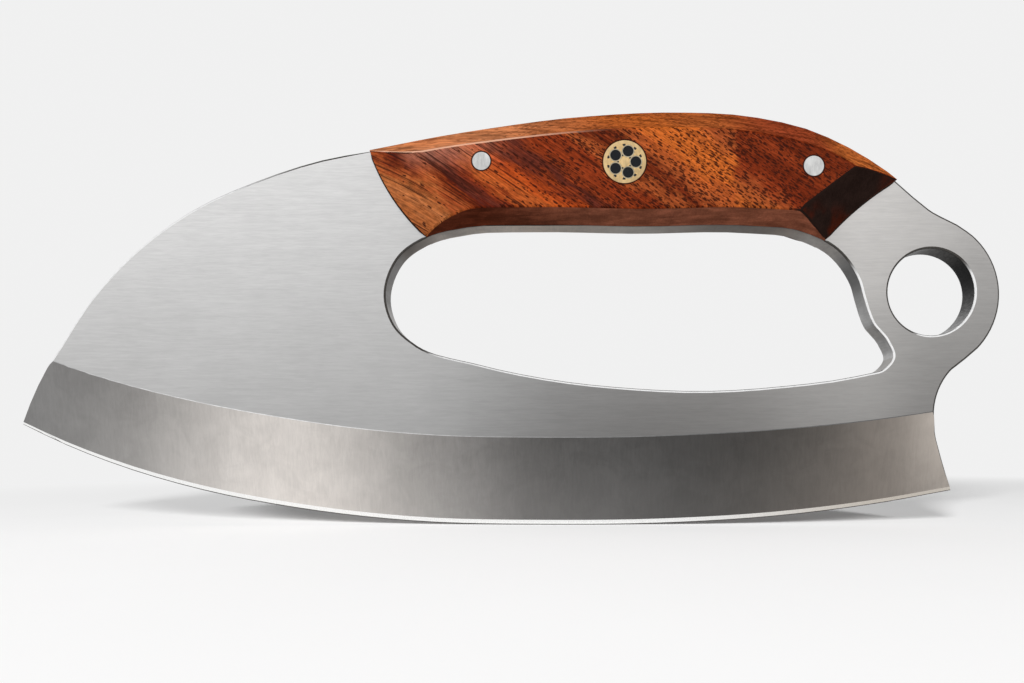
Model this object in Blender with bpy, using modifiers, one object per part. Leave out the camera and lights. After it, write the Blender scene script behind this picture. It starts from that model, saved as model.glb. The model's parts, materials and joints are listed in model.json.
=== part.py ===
"""Ulu knife: a curved full-tang blade with a hand opening and a finger ring, and two wooden scales
that are glued on and held by two plain pins and a mosaic pin.

All lengths are metres. +X runs from the tip to the finger ring and +Z up from the cutting edge.
The near side faces -Y. The origin lies under the middle of the knife, at the lowest point of the edge."""

import math
from itertools import takewhile

import bmesh
import bpy
from mathutils import Matrix, Vector
from mathutils.geometry import interpolate_bezier

# Steel plate
PLATE_THICKNESS = 0.0060
EDGE_BREAK = 0.00030          # chamfer round the outline, the opening and the ring

# Blade outline on the XZ plane, from the tip over the spine to the start of the ring
TIP = (-0.1289, 0.0267)
SPINE = (
    (-0.1252, 0.0340), (-0.1175, 0.0460), (-0.1091, 0.0590), (-0.0968, 0.0722), (-0.0821, 0.0828),
    (-0.0648, 0.0906), (-0.0491, 0.0957), (-0.0312, 0.0989), (-0.0061, 0.1028), (0.0187, 0.1057),
    (0.0434, 0.1069), (0.0620, 0.1060), (0.0807, 0.1017), (0.0935, 0.0959), (0.1014, 0.0909),
    (0.1074, 0.0857), (0.1112, 0.0827),
)

# Finger ring, and the hollow between it and the heel
RING_CENTRE = (0.1087, 0.0607)
RING_RADIUS = 0.0206
RING_FROM = math.radians(60)
RING_TO = math.radians(-55)
FINGER_BORE = 0.0228
FINGER_BORE_OFFSET = (0.0027, 0.0006)   # from the ring's centre
HEEL_SIDE = (
    (0.1163, 0.0404), (0.1137, 0.0363), (0.1122, 0.0303), (0.1126, 0.0252), (0.1151, 0.0171),
)
HEEL = (0.1180, 0.0092)

# Cutting edge, from the tip to the heel
EDGE = (
    (-0.1194, 0.0221), (-0.1018, 0.0152), (-0.0818, 0.0094), (-0.0552, 0.0043), (-0.0260, 0.0010),
    (0.0120, 0.0), (0.0388, 0.0003), (0.0740, 0.0025), (0.1000, 0.0059),
)

# Grind: the wide bevel that leaves the flat, and the narrow one that makes the edge
GRIND_AT_TIP = 0.0190
GRIND_AT_BELLY = 0.0232
GRIND_AT_HEEL = 0.0214
GRIND_EASE = 0.30             # part of the edge over which the widths change, at each end
FINE_BEVEL_AT_TIP = 0.0007
FINE_BEVEL_AT_BELLY = 0.0013
FINE_BEVEL_AT_HEEL = 0.0010
FINE_BEVEL_THICKNESS = 0.0008
EDGE_LAND = 0.0001

# Hand opening, once round from its front end along the bottom to the rear and back along the top
OPENING_BOTTOM = (
    (-0.0317, 0.0602), (-0.0292, 0.0523), (-0.0238, 0.0474), (-0.0079, 0.0424), (0.0139, 0.0380),
    (0.0320, 0.0361), (0.0507, 0.0353), (0.0717, 0.0365), (0.0939, 0.0397), (0.0990, 0.0411),
    (0.1014, 0.0442), (0.0999, 0.0484), (0.0962, 0.0530), (0.0941, 0.0585),
)
OPENING_TOP = (
    (0.0924, 0.0645), (0.0871, 0.0720), (0.0772, 0.0771), (0.0630, 0.0786), (0.0350, 0.0784),
    (0.0060, 0.0788), (-0.0107, 0.0781), (-0.0209, 0.0755), (-0.0278, 0.0708),
)

# Handle scales. Their ends run from the spine to the top of the hand opening.
SCALE_THICKNESS = 0.0078
GLUE_THICKNESS = 0.0002
FRONT_END_TO_OPENING = 0.0070         # along X, from the front of the opening's top line
FRONT_END_LEAN = 0.0149               # along X, how far forward of that its top end lies
FRONT_END_BOW = 0.0017                # outwards
REAR_END_TO_OPENING = 0.0092          # along X, from the rear of the opening's top line
REAR_END_TO_RING = 0.0092             # along X, from its top end to where the spine meets the ring
REAR_END_BOW = 0.0010                 # inwards
TANG_INSET = 0.00002                  # the tang's bare edges, dressed flush with the scales

# Faces ground on each scale. A lip is what stays of the scale's side wall below a face.
END_LIP = 0.0008
UNDERSIDE_LIP = 0.0003
UNDERSIDE_DRAFT = 0.0020
FRONT_RAMP_RUN = 0.0150
FRONT_RAMP_SPARE = 0.0003     # how far its curve would rise past the outer face
REAR_RAMP_RUN_BOTTOM = 0.0101
REAR_RAMP_RUN_TOP = 0.0084
REAR_RAMP_PINCH = 0.0010      # how much narrower it is halfway up
REAR_RAMP_SCOOP = 0.0003
# Along the top line, from its front end (0) to its rear end (1)
TOP_LIP = ((0.0, 0.0004), (0.12, 0.0016), (0.35, 0.0026), (0.80, 0.0026), (1.0, 0.0006))
TOP_FACE_WIDTH = ((0.0, 0.0062), (0.15, 0.0058), (0.60, 0.0064), (0.85, 0.0063), (1.0, 0.0076))

# Pins, all at right angles to the plate and cut flush with the scales
FRONT_PIN_PLACE = (-0.0057, 0.0922)
FRONT_PIN_DIAMETER = 0.0045
REAR_PIN_PLACE = (0.0776, 0.0910)
REAR_PIN_DIAMETER = 0.0050
PIN_FIT = 0.00005             # radial room for glue round each pin

# Mosaic pin: silver tubes in a ring, rods between them, all set in filled resin inside a brass sleeve
MOSAIC_PLACE = (0.0302, 0.0920)
MOSAIC_TUBES = 5
MOSAIC_TUBE_DIAMETER = 0.0032
MOSAIC_TUBE_WALL = 0.00024
MOSAIC_GAP = 0.00010          # resin between neighbouring metal parts
MOSAIC_SLEEVE_WALL = 0.00085
MOSAIC_FIT = 0.00002          # radial room between the resin and each part in it

# Sampling of curves
MAX_TURN = math.radians(4.5)
MAX_SPAN = 0.006
MIN_SPAN = 0.0004
FINE_STEPS = 40
RING_STEPS = 8
BOW_STEPS = 12
RAMP_STEPS = 6

# Sides of the round parts
FINGER_BORE_SIDES = 72
SLEEVE_SIDES = 64
PIN_SIDES = 40
TUBE_SIDES = 28
CENTRE_ROD_SIDES = 24
OUTER_ROD_SIDES = 16

# How far cutters reach past what they cut, and limits for joining and shading faces
CUTTER_REACH = 0.004
RUN_OUT = 0.012
WELD = 1e-6
SHARP_ANGLE = math.radians(28)

HALF_PLATE = PLATE_THICKNESS / 2
SCALE_SEAT = HALF_PLATE + GLUE_THICKNESS
HANDLE_HALF = SCALE_SEAT + SCALE_THICKNESS
NEAR, FAR = -1, 1
# The drawing's third axis is the knife's depth: drawing (x, y, z) becomes (x, -z, y)
STAND_UP = Matrix(((1, 0, 0, 0), (0, 0, -1, 0), (0, 1, 0, 0), (0, 0, 0, 1)))


def clear_scene():
    for thing in list(bpy.data.objects):
        bpy.data.objects.remove(thing)


def new_collection(name):
    collection = bpy.data.collections.new(name)
    bpy.context.scene.collection.children.link(collection)
    return collection


def new_material(name, colour, roughness, metallic):
    material = bpy.data.materials.new(name)
    material.use_nodes = True
    shader = material.node_tree.nodes["Principled BSDF"]
    shader.inputs["Base Color"].default_value = (*colour, 1)
    shader.inputs["Roughness"].default_value = roughness
    shader.inputs["Metallic"].default_value = metallic
    return material


# Curves


def smooth_curve(points, closed=False):
    """Points along a smooth curve through the given ones, close together only where it turns."""
    given = [Vector(point) for point in points]
    if closed:
        ring = [given[-1]] + given + given[:2]
    else:
        ring = [given[0] * 2 - given[1]] + given + [given[-1] * 2 - given[-2]]
    slopes = []
    for before, here, after in zip(ring, ring[1:], ring[2:]):
        reach_in = (here - before).length
        reach_out = (after - here).length
        slope_in = (here - before) / reach_in * reach_out
        slope_out = (after - here) / reach_out * reach_in
        slopes.append((slope_in + slope_out) / (reach_in + reach_out))
    dense = []
    for start, end, leave, arrive in zip(ring[1:], ring[2:-1], slopes, slopes[1:]):
        third = (end - start).length / 3
        dense += interpolate_bezier(start, start + leave * third, end - arrive * third, end, FINE_STEPS)[:-1]
    if not closed:
        dense.append(given[-1])
    return thinned(dense)


def thinned(dense):
    """Drops the points that a curve can spare."""
    kept = [dense[0]]
    heading = None
    for here, after in zip(dense[1:], dense[2:] + dense[:1]):
        step = after - here
        if heading is None:
            heading = here - dense[0]
        turned = heading.angle(step) > MAX_TURN
        far = (here - kept[-1]).length
        if far > MAX_SPAN or (turned and far > MIN_SPAN) or here is dense[-1]:
            if (here - kept[0]).length > MIN_SPAN:
                kept.append(here)
            heading = step
    return kept


def run_between(curve, x_from, x_to):
    """The stretch of a left-to-right curve between two places along X."""
    inner = [point for point in curve if x_from + MIN_SPAN < point.x < x_to - MIN_SPAN]
    return [point_at(curve, x_from)] + inner + [point_at(curve, x_to)]


def point_at(curve, x):
    for start, end in zip(curve, curve[1:]):
        if start.x <= x <= end.x:
            return start.lerp(end, (x - start.x) / (end.x - start.x))
    raise ValueError("the curve doesn't reach that far along X")


def bowed_line(start, end, bow):
    """A line whose middle stands off its chord by bow, to the left of its direction if positive."""
    across = (end - start).orthogonal().normalized()
    line = []
    for index in range(BOW_STEPS + 1):
        along = index / BOW_STEPS
        line.append(start.lerp(end, along) + across * bow * 4 * along * (1 - along))
    return line


def directions(path):
    """Unit tangent of a path at each of its points."""
    tangents = []
    for index in range(len(path)):
        before = path[max(index - 1, 0)]
        after = path[min(index + 1, len(path) - 1)]
        tangents.append((after - before).normalized())
    return tangents


def drawn_out(path):
    """The path with a straight piece added at each end, for a cutter that has to run past the part."""
    tangents = directions(path)
    first = path[0] - tangents[0] * RUN_OUT
    last = path[-1] + tangents[-1] * RUN_OUT
    return [first] + path + [last]


def shares(path):
    """How far along the path each point of the drawn out path lies: 0 up to its start, 1 from its end."""
    lengths = [0.0]
    for start, end in zip(path, path[1:]):
        lengths.append(lengths[-1] + (end - start).length)
    return [0.0] + [length / lengths[-1] for length in lengths] + [1.0]


def read_off(stations, share):
    """The value between the two stations (share, value) that a share lies between."""
    for (start, first), (end, last) in zip(stations, stations[1:]):
        if share <= end:
            return first + (last - first) * (share - start) / (end - start)
    return stations[-1][1]


def eased_ends(share, first, middle, last, ease):
    """first at 0 and last at 1, levelling out to middle over the given share at each end."""
    if share < ease:
        return middle + (first - middle) * (1 - share / ease) ** 2
    if share > 1 - ease:
        return middle + (last - middle) * (1 - (1 - share) / ease) ** 2
    return middle


def ring_arc():
    arc = []
    for index in range(RING_STEPS + 1):
        angle = RING_FROM + (RING_TO - RING_FROM) * index / RING_STEPS
        arc.append(around(RING_CENTRE, RING_RADIUS, angle))
    return arc


def around(centre, radius, angle):
    """The point at an angle on a circle."""
    return Vector(centre) + radius * Vector((math.cos(angle), math.sin(angle)))


def circle_points(centre, radius, sides):
    return [around(centre, radius, 2 * math.pi * index / sides) for index in range(sides)]


# Solids


def finish_mesh(name, mesh, collection, material=None):
    solid = bpy.data.objects.new(name, mesh)
    collection.objects.link(solid)
    if material:
        mesh.materials.clear()
        mesh.materials.append(material)
        mesh.shade_smooth()
        mesh.set_sharp_from_angle(angle=SHARP_ANGLE)
    else:
        solid.hide_render = True
        solid.display_type = "WIRE"
    return solid


def flat_piece(name, outlines, low, high, collection, material=None, edge_break=0.0, inset=0.0):
    """A plate with the given outline and holes on the XZ plane, from y = low to y = high."""
    curve = bpy.data.curves.new(name, "CURVE")
    curve.dimensions = "2D"
    curve.fill_mode = "BOTH"
    curve.extrude = (high - low) / 2 - edge_break
    curve.bevel_depth = edge_break
    curve.bevel_resolution = 0
    curve.offset = -edge_break - inset
    for outline in outlines:
        spline = curve.splines.new("POLY")
        spline.points.add(len(outline) - 1)
        for point, place in zip(spline.points, outline):
            point.co = (place.x, place.y, 0, 1)
        spline.use_cyclic_u = True
    drawing = bpy.data.objects.new(name + "_drawing", curve)
    collection.objects.link(drawing)
    evaluated = drawing.evaluated_get(bpy.context.evaluated_depsgraph_get())
    mesh = bpy.data.meshes.new_from_object(evaluated)
    bpy.data.objects.remove(drawing)
    bpy.data.curves.remove(curve)
    mesh.name = name
    work = bmesh.new()
    work.from_mesh(mesh)
    bmesh.ops.remove_doubles(work, verts=work.verts, dist=WELD)
    bmesh.ops.transform(work, matrix=STAND_UP, verts=work.verts)
    middle = (high + low) / 2
    half = (high - low) / 2
    for vertex in work.verts:
        if abs(vertex.co.y) < half - WELD:
            vertex.co.y += middle
        else:
            vertex.co.y = high if vertex.co.y > 0 else low
    bmesh.ops.recalc_face_normals(work, faces=work.faces)
    work.to_mesh(mesh)
    work.free()
    return finish_mesh(name, mesh, collection, material)


def loft(name, sections, collection):
    """A body skinned over closed sections with as many points each, with a flat cap at each end."""
    work = bmesh.new()
    rings = [[work.verts.new(point) for point in section] for section in sections]
    for ring, following in zip(rings, rings[1:]):
        for index in range(len(ring)):
            work.faces.new((ring[index - 1], ring[index], following[index], following[index - 1]))
    work.faces.new(rings[0])
    work.faces.new(rings[-1])
    bmesh.ops.recalc_face_normals(work, faces=work.faces)
    mesh = bpy.data.meshes.new(name)
    work.to_mesh(mesh)
    work.free()
    return finish_mesh(name, mesh, collection)


def round_bar(name, place, diameter, half_length, sides, collection, material=None):
    """A bar across the plate, centred on it."""
    work = bmesh.new()
    seat = Matrix.Translation((place[0], 0, place[1])) @ STAND_UP
    bmesh.ops.create_cone(
        work, cap_ends=True, segments=sides, radius1=diameter / 2, radius2=diameter / 2,
        depth=2 * half_length, matrix=seat,
    )
    mesh = bpy.data.meshes.new(name)
    work.to_mesh(mesh)
    work.free()
    return finish_mesh(name, mesh, collection, material)


def tube(name, place, diameter, wall, half_length, sides, collection, material):
    """A tube across the plate: its wall's section turned round its axis."""
    outer = diameter / 2
    inner = outer - wall
    corners = ((outer, half_length), (outer, -half_length), (inner, -half_length), (inner, half_length))
    work = bmesh.new()
    ring = [work.verts.new((radius, 0, height)) for radius, height in corners]
    for start, end in zip(ring, ring[1:] + ring[:1]):
        work.edges.new((start, end))
    mesh = bpy.data.meshes.new(name)
    work.to_mesh(mesh)
    work.free()
    body = bpy.data.objects.new(name, mesh)
    collection.objects.link(body)
    body.location = (place[0], 0, place[1])
    body.rotation_euler = (math.pi / 2, 0, 0)
    mesh.materials.append(material)
    turn = body.modifiers.new("turned", "SCREW")
    turn.steps = sides
    turn.render_steps = sides
    turn.use_merge_vertices = True
    turn.merge_threshold = WELD
    turn.use_smooth_shade = True
    return body


def cut(body, cutter, solver="EXACT", operation="DIFFERENCE"):
    boolean = body.modifiers.new(cutter.name, "BOOLEAN")
    boolean.operation = operation
    boolean.solver = solver
    boolean.object = cutter


def facet_cutter(name, path, profile_at, side, collection):
    """Takes off what lies above a ground face. The face follows path, whose left side is the wood:
    profile_at(share) gives points (distance in from the path, height above the scale's seat)."""
    long_path = drawn_out(path)
    tangents = directions(long_path)
    sections = []
    for point, tangent, share in zip(long_path, tangents, shares(path)):
        inward = Vector((-tangent.y, tangent.x))
        profile = profile_at(share)
        outside = (profile[0][0], SCALE_THICKNESS + CUTTER_REACH)
        inside = (profile[-1][0], SCALE_THICKNESS + CUTTER_REACH)
        section = []
        for distance, height in [outside, *profile, inside]:
            place = point + inward * distance
            section.append((place.x, side * (SCALE_SEAT + height), place.y))
        sections.append(section)
    return loft(name, sections, collection)


def extended(profile):
    """A profile of (distance, height) points with its first and last slopes carried on past the wood."""
    first, second = profile[:2]
    last_but_one, last = profile[-2:]
    slope_in = (second[1] - first[1]) / (second[0] - first[0])
    slope_out = (last[1] - last_but_one[1]) / (last[0] - last_but_one[0])
    reach = min(CUTTER_REACH, CUTTER_REACH / 2 / slope_out)
    start = (first[0] - CUTTER_REACH, first[1] - CUTTER_REACH * slope_in)
    return [start, *profile, (last[0] + reach, last[1] + reach * slope_out)]


# Outlines that several pieces share


def spine_curve():
    return smooth_curve([TIP, *SPINE, *ring_arc(), *HEEL_SIDE, HEEL])


def edge_curve():
    return smooth_curve([TIP, *EDGE, HEEL])


def opening_curve():
    return smooth_curve(OPENING_BOTTOM + OPENING_TOP, closed=True)


def handle_lines():
    """The four sides of a scale: top, rear, bottom and front, each drawn clockwise from the last."""
    opening_rear, opening_front = OPENING_TOP[0], OPENING_TOP[-1]
    front_end = opening_front[0] + FRONT_END_TO_OPENING
    rear_end = opening_rear[0] - REAR_END_TO_OPENING
    spine_end = SPINE[-1][0]
    over = list(takewhile(lambda point: point.x < spine_end, spine_curve()))
    top = run_between(over, front_end - FRONT_END_LEAN, spine_end - REAR_END_TO_RING)
    lowest = min(opening_rear[1], opening_front[1])
    under = sorted((point for point in opening_curve() if point.y >= lowest), key=lambda point: point.x)
    bottom = run_between(under, front_end, rear_end)[::-1]
    rear = bowed_line(top[-1], bottom[0], -REAR_END_BOW)
    front = bowed_line(bottom[-1], top[0], FRONT_END_BOW)
    return top, rear, bottom, front


def handle_outline():
    return [point for line in handle_lines() for point in line[:-1]]


# Pieces


def make_blade(pieces, cutters, steel, pin_holes):
    edge = edge_curve()
    outline = spine_curve() + edge[-2:0:-1]
    bore_centre = Vector(RING_CENTRE) + Vector(FINGER_BORE_OFFSET)
    bore = circle_points(bore_centre, FINGER_BORE / 2, FINGER_BORE_SIDES)
    blade = flat_piece(
        "blade", [outline, opening_curve(), bore], -HALF_PLATE, HALF_PLATE, pieces, steel, EDGE_BREAK,
    )
    tang = flat_piece("tang", [handle_outline()], -HALF_PLATE, HALF_PLATE, cutters, inset=TANG_INSET)
    cut(blade, tang, "MANIFOLD", "UNION")
    for side, name in ((NEAR, "near_grind"), (FAR, "far_grind")):
        cut(blade, grind_cutter(name, edge, side, cutters), "MANIFOLD")
    for hole in pin_holes:
        cut(blade, hole, "MANIFOLD")


def grind_cutter(name, edge, side, cutters):
    """Grinds one side from the grind line on the flat down to the edge, with a finer bevel at the end."""
    long_edge = drawn_out(edge)
    half_land = EDGE_LAND / 2
    half_fine = FINE_BEVEL_THICKNESS / 2
    sections = []
    for point, tangent, share in zip(long_edge, directions(long_edge), shares(edge)):
        width = eased_ends(share, GRIND_AT_TIP, GRIND_AT_BELLY, GRIND_AT_HEEL, GRIND_EASE)
        fine = eased_ends(share, FINE_BEVEL_AT_TIP, FINE_BEVEL_AT_BELLY, FINE_BEVEL_AT_HEEL, GRIND_EASE)
        fine_slope = (half_fine - half_land) / fine
        slope = (HALF_PLATE - half_fine) / (width - fine)
        beyond = width + CUTTER_REACH
        top = HALF_PLATE + CUTTER_REACH
        section = []
        for distance, height in (
            (-CUTTER_REACH, top),
            (-CUTTER_REACH, half_land - fine_slope * CUTTER_REACH),
            (fine, half_fine),
            (beyond, HALF_PLATE + slope * CUTTER_REACH),
            (beyond, top),
        ):
            place = point + Vector((-tangent.y, tangent.x)) * distance
            section.append((place.x, side * height, place.y))
        sections.append(section)
    return loft(name, sections, cutters)


def make_scale(name, side, pieces, cutters, wood, pin_holes):
    low, high = sorted((side * SCALE_SEAT, side * HANDLE_HALF))
    scale = flat_piece(name, [handle_outline()], low, high, pieces, wood)

    def top_face(share):
        lip = read_off(TOP_LIP, 1 - share)
        width = read_off(TOP_FACE_WIDTH, 1 - share)
        return extended([(0.0, lip), (width, SCALE_THICKNESS)])

    def underside(share):
        return extended([(0.0, UNDERSIDE_LIP), (UNDERSIDE_DRAFT, SCALE_THICKNESS)])

    def front_ramp(share):
        rise = SCALE_THICKNESS + FRONT_RAMP_SPARE - END_LIP
        ramp = []
        for step in range(RAMP_STEPS + 1):
            along = step / RAMP_STEPS
            ramp.append((FRONT_RAMP_RUN * along, END_LIP + rise * math.sin(math.pi / 2 * along)))
        return extended(ramp)

    def rear_ramp(share):
        run = REAR_RAMP_RUN_BOTTOM + (REAR_RAMP_RUN_TOP - REAR_RAMP_RUN_BOTTOM) * share
        run -= REAR_RAMP_PINCH * 4 * share * (1 - share)
        middle = (END_LIP + SCALE_THICKNESS) / 2 - REAR_RAMP_SCOOP
        return extended([(0.0, END_LIP), (run / 2, middle), (run, SCALE_THICKNESS)])

    top, rear, bottom, front = handle_lines()
    faces = (
        ("top_face", top[::-1], top_face), ("underside", bottom[::-1], underside),
        ("front_ramp", front[::-1], front_ramp), ("rear_ramp", rear[::-1], rear_ramp),
    )
    for face_name, path, profile_at in faces:
        cut(scale, facet_cutter(name + "_" + face_name, path, profile_at, side, cutters), "MANIFOLD")
    for hole in pin_holes:
        cut(scale, hole, "MANIFOLD")


def make_glue_film(name, side, pieces, glue, pin_holes):
    low, high = sorted((side * HALF_PLATE, side * SCALE_SEAT))
    film = flat_piece(name, [handle_outline()], low, high, pieces, glue)
    for hole in pin_holes:
        cut(film, hole)


def mosaic_sizes():
    """Ring radius of the tubes, bore radius of the sleeve, and the radii of the rods that fit between:
    tubes, rods and sleeve all stand one gap apart."""
    tube_radius = MOSAIC_TUBE_DIAMETER / 2
    half_step = math.pi / MOSAIC_TUBES
    ring_radius = (tube_radius + MOSAIC_GAP / 2) / math.sin(half_step)
    bore_radius = ring_radius + tube_radius + MOSAIC_GAP
    centre_rod = ring_radius - tube_radius - MOSAIC_GAP
    reach = bore_radius - MOSAIC_GAP
    lean = ring_radius * math.cos(half_step)
    spread = tube_radius + MOSAIC_GAP
    room = reach ** 2 + ring_radius ** 2 - 2 * reach * lean - spread ** 2
    outer_rod = room / (2 * (reach - lean + spread))
    return ring_radius, bore_radius, centre_rod, outer_rod, reach - outer_rod


def make_mosaic_pin(pieces, cutters, brass, silver, resin, filler):
    ring_radius, bore_radius, centre_rod, outer_rod, rod_ring = mosaic_sizes()
    sleeve = 2 * (bore_radius + MOSAIC_SLEEVE_WALL)
    tube(
        "mosaic_sleeve", MOSAIC_PLACE, sleeve, MOSAIC_SLEEVE_WALL, HANDLE_HALF,
        SLEEVE_SIDES, pieces, brass,
    )
    filling_size = 2 * (bore_radius - MOSAIC_FIT)
    filling = round_bar(
        "mosaic_resin", MOSAIC_PLACE, filling_size, HANDLE_HALF, SLEEVE_SIDES, pieces, filler,
    )

    def set_in_resin(name, place, diameter, sides):
        past_end = HANDLE_HALF + CUTTER_REACH
        cut(filling, round_bar(name + "_hole", place, diameter + 2 * MOSAIC_FIT, past_end, sides, cutters))

    def rod(name, place, radius, sides):
        round_bar(name, place, 2 * radius, HANDLE_HALF, sides, pieces, brass)
        set_in_resin(name, place, 2 * radius, sides)

    rod("mosaic_centre_rod", MOSAIC_PLACE, centre_rod, CENTRE_ROD_SIDES)
    core = MOSAIC_TUBE_DIAMETER - 2 * MOSAIC_TUBE_WALL - 2 * MOSAIC_FIT
    turn = 2 * math.pi / MOSAIC_TUBES
    for index in range(MOSAIC_TUBES):
        number = "_" + str(index + 1)
        place = around(MOSAIC_PLACE, ring_radius, turn * index)
        name = "mosaic_steel_tube" + number
        tube(name, place, MOSAIC_TUBE_DIAMETER, MOSAIC_TUBE_WALL, HANDLE_HALF, TUBE_SIDES, pieces, silver)
        set_in_resin(name, place, MOSAIC_TUBE_DIAMETER, TUBE_SIDES)
        round_bar("mosaic_black_core" + number, place, core, HANDLE_HALF, TUBE_SIDES, pieces, resin)
        between = around(MOSAIC_PLACE, rod_ring, turn * (index + 0.5))
        rod("mosaic_outer_rod" + number, between, outer_rod, OUTER_ROD_SIDES)
    return sleeve


def main():
    clear_scene()
    pieces = new_collection("ulu_knife")
    cutters = new_collection("cutters")
    steel = new_material("brushed_steel", (0.56, 0.56, 0.55), 0.32, 1)
    wood = new_material("rosewood", (0.28, 0.07, 0.025), 0.38, 0)
    glue = new_material("epoxy", (0.03, 0.02, 0.015), 0.45, 0)
    nickel = new_material("nickel_silver", (0.78, 0.77, 0.74), 0.25, 1)
    brass = new_material("brass", (0.72, 0.50, 0.20), 0.25, 1)
    resin = new_material("black_resin", (0.012, 0.012, 0.014), 0.35, 0)
    filler = new_material("brass_filled_resin", (0.60, 0.42, 0.20), 0.40, 0)

    sleeve = make_mosaic_pin(pieces, cutters, brass, nickel, resin, filler)
    round_bar("front_pin", FRONT_PIN_PLACE, FRONT_PIN_DIAMETER, HANDLE_HALF, PIN_SIDES, pieces, nickel)
    round_bar("rear_pin", REAR_PIN_PLACE, REAR_PIN_DIAMETER, HANDLE_HALF, PIN_SIDES, pieces, nickel)
    pins = (
        ("front_pin_hole", FRONT_PIN_PLACE, FRONT_PIN_DIAMETER, PIN_SIDES),
        ("mosaic_pin_hole", MOSAIC_PLACE, sleeve, SLEEVE_SIDES),
        ("rear_pin_hole", REAR_PIN_PLACE, REAR_PIN_DIAMETER, PIN_SIDES),
    )
    past_end = HANDLE_HALF + CUTTER_REACH
    holes = [
        round_bar(name, place, size + 2 * PIN_FIT, past_end, sides, cutters)
        for name, place, size, sides in pins
    ]
    make_blade(pieces, cutters, steel, holes)
    for side, word in ((NEAR, "near"), (FAR, "far")):
        make_glue_film(word + "_glue_film", side, pieces, glue, holes)
        make_scale(word + "_scale", side, pieces, cutters, wood, holes)


main()
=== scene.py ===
"""Finish of the ulu knife: ground and brushed steel, oiled wood, sanded pins, and the table it stands on.

All lengths are metres, in the knife's own frame: +X from the tip to the finger ring, +Z up, near side -Y.
Inside the materials, places on the knife are in millimetres."""

import json
import math
from functools import partialmethod

import bmesh
import bpy
from bpy.props import FloatProperty, FloatVectorProperty, PointerProperty
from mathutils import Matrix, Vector
from mathutils.bvhtree import BVHTree


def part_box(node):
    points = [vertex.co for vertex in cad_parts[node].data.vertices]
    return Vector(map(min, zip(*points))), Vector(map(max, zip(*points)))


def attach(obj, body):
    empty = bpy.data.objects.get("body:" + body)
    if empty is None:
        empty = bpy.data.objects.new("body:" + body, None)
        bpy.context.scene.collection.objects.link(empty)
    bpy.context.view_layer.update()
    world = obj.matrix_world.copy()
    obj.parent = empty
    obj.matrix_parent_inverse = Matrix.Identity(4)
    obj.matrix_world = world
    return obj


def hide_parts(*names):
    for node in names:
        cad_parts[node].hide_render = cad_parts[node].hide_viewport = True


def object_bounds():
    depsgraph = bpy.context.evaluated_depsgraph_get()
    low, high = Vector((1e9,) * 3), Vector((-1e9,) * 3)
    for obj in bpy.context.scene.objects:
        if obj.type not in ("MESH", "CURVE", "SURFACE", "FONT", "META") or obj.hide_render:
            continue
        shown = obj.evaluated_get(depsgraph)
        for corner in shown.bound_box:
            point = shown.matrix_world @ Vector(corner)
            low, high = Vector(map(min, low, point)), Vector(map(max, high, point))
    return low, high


bl_info = {
    "name": "Ulu Knife Finish",
    "version": (1, 0, 0),
    "blender": (4, 5, 0),
    "location": "View3D > Sidebar > Ulu Knife",
    "description": "Gives an ulu knife its finish and sets it up for a product picture",
    "category": "Object",
}

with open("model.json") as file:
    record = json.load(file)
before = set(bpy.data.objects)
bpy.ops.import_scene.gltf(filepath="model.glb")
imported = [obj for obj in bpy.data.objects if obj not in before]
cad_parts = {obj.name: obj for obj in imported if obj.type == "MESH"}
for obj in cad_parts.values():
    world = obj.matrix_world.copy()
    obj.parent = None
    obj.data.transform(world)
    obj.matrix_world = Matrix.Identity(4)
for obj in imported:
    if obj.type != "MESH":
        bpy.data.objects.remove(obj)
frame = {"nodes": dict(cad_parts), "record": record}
CAD_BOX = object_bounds()

MM = 1000.0
# Corners this near to each other are one
WELD = 1e-6
# How much a face's size counts for the shading
NORMALS_WEIGHT = 100
# The underside of a scale or its glue looks down by more than this
UNDER_LIMIT = -0.6

# Where the knife's parts lie, from the frame
EDGE_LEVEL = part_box("blade")[0].z
HALF_PLATE = -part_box("blade")[0].y
HANDLE_HALF = -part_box("near_scale")[0].y


def middle(low, high):
    """The middle of a box, on the XZ plane."""
    return Vector(((low[0] + high[0]) / 2, 0, (low[2] + high[2]) / 2))


PIN_BOXES = [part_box(name) for name in ("front_pin", "rear_pin", "mosaic_sleeve")]
# Where each pin's axis meets the XZ plane, and the pin's radius
PIN_SEATS = [(middle(low, high), (high.x - low.x) / 2) for low, high in PIN_BOXES]
MOSAIC_CENTRE, MOSAIC_RADIUS = PIN_SEATS[-1]
OPENINGS = {opening["name"]: opening["box_m"] for opening in frame["record"]["physics"]["openings"]}
RING_MIDDLE = middle(*OPENINGS["finger_ring"])


# Building materials


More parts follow.
